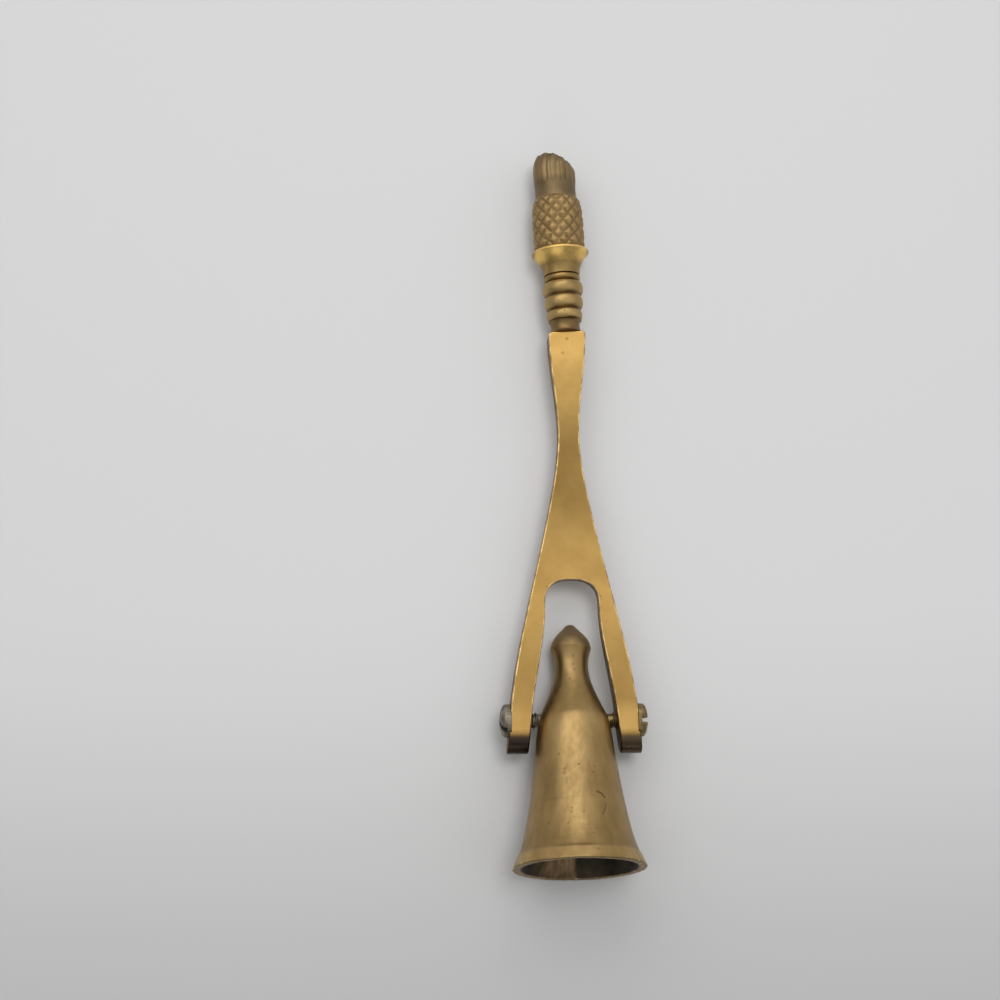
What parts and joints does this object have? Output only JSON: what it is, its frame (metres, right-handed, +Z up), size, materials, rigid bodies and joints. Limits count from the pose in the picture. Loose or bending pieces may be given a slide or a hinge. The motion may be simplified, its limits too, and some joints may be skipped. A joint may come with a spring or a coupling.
{
  "type": "candle snuffer",
  "caption": "Brass candle snuffer: a bell with a knob swings on pivot screws in the fork of a flat handle that ends in a turned pineapple finial.",
  "frame": {"origin": "bottom centre of the snuffer's box as it lies on a table", "axes": "+Z up from the table, +Y along the handle towards the finial, X along the pivot screws"},
  "size_m": [0.0436, 0.2208, 0.0379],
  "materials": {
    "polished_brass": "worn polish",
    "dull_brass": "dull, toned",
    "satin_brass": "satin, turned",
    "screw_steel": "dull plated"
  },
  "bodies": {
    "handle": {"forked_handle": "polished_brass", "pineapple_finial": "dull_brass", "left_pivot_screw": "screw_steel", "right_pivot_screw": "screw_steel"},
    "bell": {"bell": "satin_brass"}
  },
  "joints": [
    {"name": "bell_swing", "type": "hinge", "parent": "handle", "child": "bell", "pos_m": [0, -0.06419, 0.01027], "axis": [1, 0, 0], "range_deg": [-128.95, 151.05]}
  ]
}
